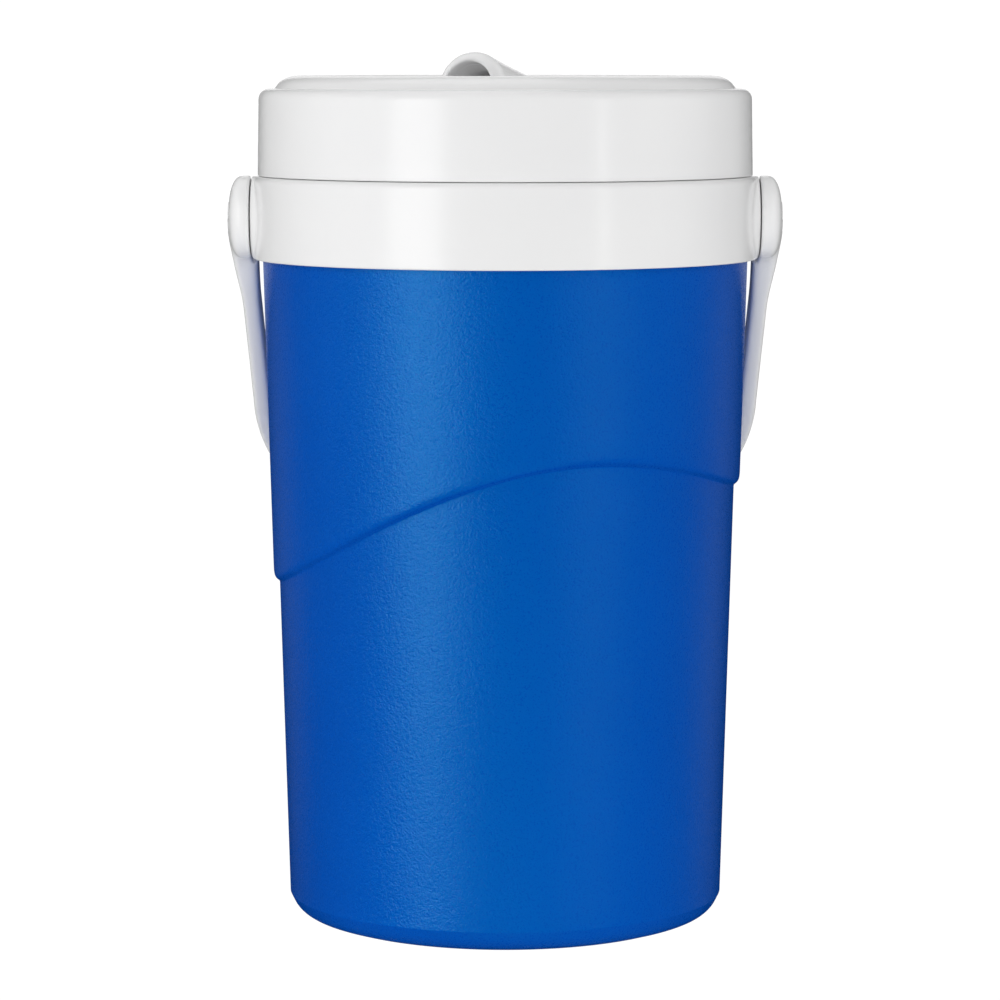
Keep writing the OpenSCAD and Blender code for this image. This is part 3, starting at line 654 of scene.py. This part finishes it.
def bail_field(p):
    """Field of the bail and its hubs, in the handle's own plane: x across, v along, w wide."""
    x, v, w = np.abs(p[:, 0]), p[:, 1], p[:, 2]
    # signed distance across the centreline, and how far along from arm to grip
    grip_v = BAIL_LENGTH - GRIP_T / 2
    corner = BAIL_CORNER - GRIP_T / 2
    arm_v = grip_v - corner
    arm_t, arm_x = arm_section(v)
    arm_end_t, low_x = arm_section(np.array(arm_v))
    corner_x = low_x - corner
    angle = np.arctan2(v - arm_v, x - corner_x)
    across_corner = np.hypot(x - corner_x, v - arm_v) - corner
    in_arm, in_grip = v < arm_v, (x < corner_x) & (v >= arm_v)
    n = np.where(in_arm, x - arm_x, np.where(in_grip, v - grip_v, across_corner))
    share = np.where(in_arm, 0, np.where(in_grip, 1, eased(angle, 0, math.pi / 2)))
    # bar with a rounded section, squarer in the arms and rounder in the grip
    t = np.where(in_arm, arm_t, arm_end_t + (GRIP_T - arm_end_t) * share)
    wide = ARM_W + (GRIP_W - ARM_W) * share
    arm_power, grip_power = 3.8, 2.3
    power = arm_power + (grip_power - arm_power) * share
    size = (np.abs(n) / (t / 2)) ** power + (np.abs(w) / (wide / 2)) ** power
    bar = (size ** (1 / power) - 1) * t / 2
    arm_start = -2 * MM
    bar = smooth_max(bar, arm_start - v, 1 * MM)
    # hub: a full, flat-backed dome, whose back is cupped and holds only near the pivot
    edge_t, fullness = 2.2 * MM, 2.5
    cup_depth, back_end, back_slope = 0.3 * MM, 16 * MM, 3
    cap = HUB_T - edge_t
    off = np.hypot(v, w)
    rise = np.maximum(x - HUB_X - edge_t, 0) / cap
    size = ((off / HUB_R) ** fullness + rise ** fullness) ** (1 / fullness)
    dome = (size - 1) * cap
    whole = smooth_min(bar, dome, 2.0 * MM)
    cup = cup_depth * np.clip(off / HUB_R, 0, 1) ** 2
    back = HUB_X - cup + np.minimum(back_end - v, 0) * back_slope
    whole = smooth_max(whole, back - x, 0.5 * MM)
    seat_floor = HUB_X + HUB_T - PIN_SEAT_DEPTH
    seat = smooth_max(off - PIN_SEAT_R, seat_floor - x, 0.1 * MM)
    return smooth_max(whole, -seat, 0.35 * MM)


def handle_hang():
    """Angle that the bail hangs back from straight down, from the middle of the CAD grip."""
    node = frame["nodes"]["handle"]
    grip = np.array([v.co for v in node.data.vertices if abs(v.co.x) < 28 * MM])
    middle = (grip.min(axis=0) + grip.max(axis=0)) / 2
    return math.atan2(middle[1] - PIVOT[1], PIVOT[2] - middle[2])


def make_handle():
    """White bail handle with domed hubs, hanging behind the body."""
    low = (-104 * MM, -17 * MM, -17 * MM)
    high = (104 * MM, 161 * MM, 17 * MM)
    bail = surface_net("bail", bail_field, low, high, 1.0 * MM)
    hang = handle_hang()
    along = (0, math.sin(hang), -math.cos(hang))
    wide = (0, math.cos(hang), math.sin(hang))
    place(bail, PIVOT, (1, 0, 0), along, wide)
    finish_piece(bail, "bail", WHITE, "handle")


def make_handle_pins():
    """Low domed heads of the snap pins in the hubs, with their barbed shanks."""
    tip = box_of("handle_pin_right")[0][0]
    head = PAD_X + 7.3 * MM                 # underside of the head
    shank_r, barb_r, head_r = 4.0 * MM, 4.8 * MM, 5.45 * MM
    outline = rounded([
        (0, tip, 0), (3.4 * MM, tip, 0.3 * MM), (barb_r, tip + 2 * MM, 0.2 * MM),
        (barb_r, tip + 2.7 * MM, 0.2 * MM), (shank_r, tip + 2.7 * MM, 0.1 * MM),
        (shank_r, head, 0.1 * MM), (head_r, head, 0.15 * MM), (head_r, head + 1.2 * MM, 0.25 * MM),
        (3 * MM, head + 1.42 * MM, 4 * MM), (0, head + 1.45 * MM, 0)], 5)
    for side, name in ((1, "right"), (-1, "left")):
        rings = []
        for r, x in outline:
            turn = even(64 if r > 0 else 1)
            rings.append(np.stack([np.full(len(turn), side * x), r * np.cos(turn),
                                   PIVOT[2] + side * r * np.sin(turn)], axis=1))
        pin = skin(f"pivot_pin_{name}", rings)
        finish_piece(pin, "bail", WHITE, f"handle_pin_{name}")


# ------------------------------------------------------------------ lid
def spout_axes():
    """Along, across and up of the spout in its well, with along level."""
    across = -SPOUT_AXIS / np.linalg.norm(SPOUT_AXIS)
    up = np.array([0.0, 0, 1])
    return np.cross(across, up), across, up


def well_reach(angles, grow):
    """Distance from the lid's axis to the edge of the spout's well, in each direction. The well
    is square behind the pivot and round at the spout's mouth; grow widens it all round."""
    along, across, _ = spout_axes()
    half = WELL_R + grow
    back, front = -BARREL_R - 1.4 * MM - grow, SPOUT_LEN * math.cos(SPOUT_TILT)
    corner = 2.5 * MM + max(grow, 0)
    rays = np.stack([np.sin(angles), -np.cos(angles)], axis=1)

    def outside(dist):
        """Positive beyond the well's edge, at a distance along each ray."""
        p = rays * dist[:, None] - SPOUT_PIVOT[:2]
        a, c = p @ along[:2], np.abs(p @ across[:2])
        box_a = np.maximum(back + corner - a, 0)
        box_c = np.maximum(c - (half - corner), 0)
        square = np.hypot(box_a, box_c) - corner
        square = np.where(a > 0, c - half, square)
        nose = np.hypot(np.maximum(a - front, 0), c) - half
        return np.maximum(square, nose)

    low, high = np.zeros(len(angles)), np.full(len(angles), 80 * MM)
    halvings = 40
    for _ in range(halvings):
        mid = (low + high) / 2
        out = outside(mid) > 0
        high = np.where(out, mid, high)
        low = np.where(out, low, mid)
    return (low + high) / 2


def well_rings(angles, edge_r, dish, floor):
    """From a circle in the dish inwards: the well's rounded rim, wall, rounded foot and floor.
    The second list holds the first rings of the same wall's underside."""
    rim, foot = 0.9 * MM, 1.5 * MM
    flat = well_reach(angles, rim + 0.15 * MM)
    rings = [around(flat + (edge_r - flat) * share, dish, angles) for share in (0.66, 0.33, 0)]
    for a in quarter(6):
        reach = well_reach(angles, rim * (1 - math.sin(a)))
        rings.append(around(reach, dish - rim * (1 - math.cos(a)), angles))
    wall = well_reach(angles, 0)
    rings += [around(wall, z, angles) for z in np.linspace(dish - rim, floor + foot, 6)[1:]]
    for a in quarter(6)[1:]:
        reach = well_reach(angles, -foot * (1 - math.cos(a)))
        rings.append(around(reach, floor + foot * (1 - math.sin(a)), angles))
    last = well_reach(angles, -foot)
    rings += [around(last * share, floor, angles) for share in (0.7, 0.4)]
    under = [pole(floor - WALL), around(last * 0.5, floor - WALL, angles)]
    return rings + [pole(floor)], under


def make_lid():
    """White lid shell: side, shoulder, crown ring, dish, and the spout's well with rounded rims."""
    angles = even(720)
    shoulder = CROWN_TOP - 4.0 * MM
    top = CROWN_TOP + 0.8 * MM
    skirt, inside = LID_BOTTOM - 0.3 * MM, LID_BOTTOM + 3 * MM
    top_r, foot_r, dish_r = LID_R - 0.5 * MM, LID_R - 6.6 * MM, LID_R - 17 * MM
    edge_r = 55 * MM                        # circle in the dish, outside the well
    dish = shoulder - 0.4 * MM
    well_floor = SPOUT_PIVOT[2] - BARREL_R - 1.5 * MM
    # the crown's outer slope is part of an ellipse, which would meet the foot at start
    crown_w, crown_h, start = 9 * MM, 5.8 * MM, math.radians(12)
    crown_r = foot_r - crown_w * math.cos(start)
    slope = [(crown_r + crown_w * math.cos(a), top - crown_h + crown_h * math.sin(a))
             for a in np.linspace(math.radians(30), math.pi / 2, 20)]
    outer = rounded([
        (LID_R - WALL, inside, 0), (LID_R - WALL, skirt, 0.3 * MM), (LID_R, skirt, 0.4 * MM),
        (top_r, shoulder, 3.8 * MM), (foot_r + 0.4 * MM, shoulder, 0.9 * MM),
        (*slope[0], 0)], 9)[:-1] + slope
    outer += rounded([
        (crown_r, top, 0), (dish_r, top, 1.6 * MM), (dish_r - 0.4 * MM, dish, 1.2 * MM),
        (edge_r, dish, 0)], 9)[1:]
    under = rounded([
        (edge_r, dish - WALL, 0), (dish_r + WALL, dish - WALL, 0.6 * MM),
        (dish_r + WALL, top - WALL, 0.6 * MM), (crown_r + 3 * MM, top - WALL, 0.8 * MM),
        (foot_r - WALL, shoulder - 0.4 * MM, 0.8 * MM),
        (foot_r - WALL, shoulder - WALL, 0.4 * MM), (top_r - WALL, shoulder - WALL, 2 * MM),
        (LID_R - WALL, inside, 0)], 4)[:-1]
    well, well_under = well_rings(angles, edge_r, dish, well_floor)
    outside = well_reach(angles, WALL)
    rings = well_under + [around(outside, z - WALL, angles) for z in (well_floor, dish)]
    rings += [around(r, z, angles) for r, z in under + outer]
    finish_piece(skin("lid_top", rings + well), "lid", WHITE, "lid_shell")


# ------------------------------------------------------------------ spout
def spout_field(p):
    """Field of the pouring spout about its pivot: a along the tube, c along the barrel."""
    a, c, u = p.T
    barrel = smooth_max(np.hypot(a, u) - BARREL_R, np.abs(c) - (WELL_R - 0.4 * MM), 0.8 * MM)
    off = np.hypot(c, u)
    # the mouth's lip is rounded by an ellipse from its outside to its hole
    lip_h, lip_out, lip_in = 4.5 * MM, 3.2 * MM, 1.2 * MM
    flare_start, flare_end = 5 * MM, SPOUT_LEN - lip_h
    share = np.clip((a - flare_start) / (flare_end - flare_start), 0, 1)
    radius = TUBE_R + (LIP_R - TUBE_R) * share ** 1.5
    tube = smooth_max(off - radius, -a, 0.5 * MM)
    past = (a - flare_end) / lip_h
    lip_c = LIP_R - lip_out
    lip_w = np.where(off > lip_c, lip_out, lip_in)
    ring = (np.hypot((off - lip_c) / lip_w, np.maximum(past, 0)) - 1) * lip_w
    tube = np.where(past > 0, ring, tube)
    solid = smooth_min(barrel, tube, 2.5 * MM)
    # the bore widens twice on its way to the mouth
    bore = 5 * MM + 2.4 * MM * eased(a, 8 * MM, 16 * MM) + 1.2 * MM * eased(a, 38 * MM, 47 * MM)
    return smooth_max(solid, bore - off, 0.8 * MM)


def make_spout():
    """White flip-up spout: flared tube and valve barrel moulded in one."""
    low = (-12.5 * MM, -16 * MM, -14.5 * MM)
    high = (53 * MM, 16 * MM, 14.5 * MM)
    spout = surface_net("pouring_spout", spout_field, low, high, 0.5 * MM)
    along, across, up = spout_axes()
    tilted = along * math.cos(SPOUT_TILT) + up * math.sin(SPOUT_TILT)
    risen = up * math.cos(SPOUT_TILT) - along * math.sin(SPOUT_TILT)
    place(spout, SPOUT_PIVOT, tilted, across, risen)
    finish_piece(spout, "pourer", WHITE, "spout")


# ------------------------------------------------------------------ CAD nodes that stay
def dress_cad_nodes():
    """Materials of the CAD nodes that no piece above stands for."""
    looks = {"body_foam": FOAM, "lid_foam": FOAM, "lid_gasket": RUBBER, "spout_seal": RUBBER,
             "fill_plug": BLUE, "inner_vessel": WHITE, "lid_inner": WHITE,
             "spout_pin_left": WHITE, "spout_pin_right": WHITE}
    for name, mat in looks.items():
        node = frame["nodes"][name]
        node.data.materials.clear()
        node.data.materials.append(mat)


add_camera()
add_floor()
add_world()
add_lights()
make_body()
make_collar()
make_handle()
make_handle_pins()
make_lid()
make_spout()
dress_cad_nodes()
bpy.context.scene.view_settings.view_transform = "Standard"
